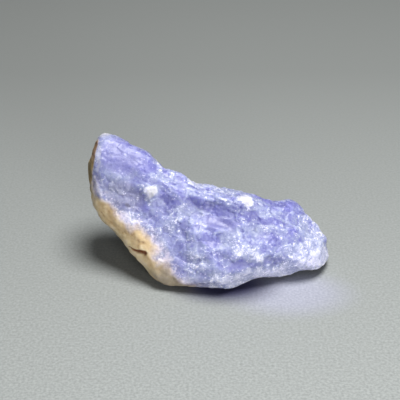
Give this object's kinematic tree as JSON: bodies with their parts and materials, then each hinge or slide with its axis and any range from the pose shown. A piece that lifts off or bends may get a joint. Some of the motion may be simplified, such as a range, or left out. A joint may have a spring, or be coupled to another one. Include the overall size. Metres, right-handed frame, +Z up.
{
  "type": "rough mineral specimen",
  "caption": "Rough broken piece of violet-blue crystalline mineral with a cream rind along one edge, lying on a small flat spot.",
  "frame": {"origin": "a point inside the flat spot that the stone rests on", "axes": "+X along the stone towards its blunt end, -Y towards the viewer of its broad face, +Z up"},
  "size_m": [0.0382, 0.0193, 0.0201],
  "materials": {
    "hackmanite": "rough, sugary break"
  },
  "bodies": {
    "root": {"hackmanite": "hackmanite"}
  },
  "joints": []
}
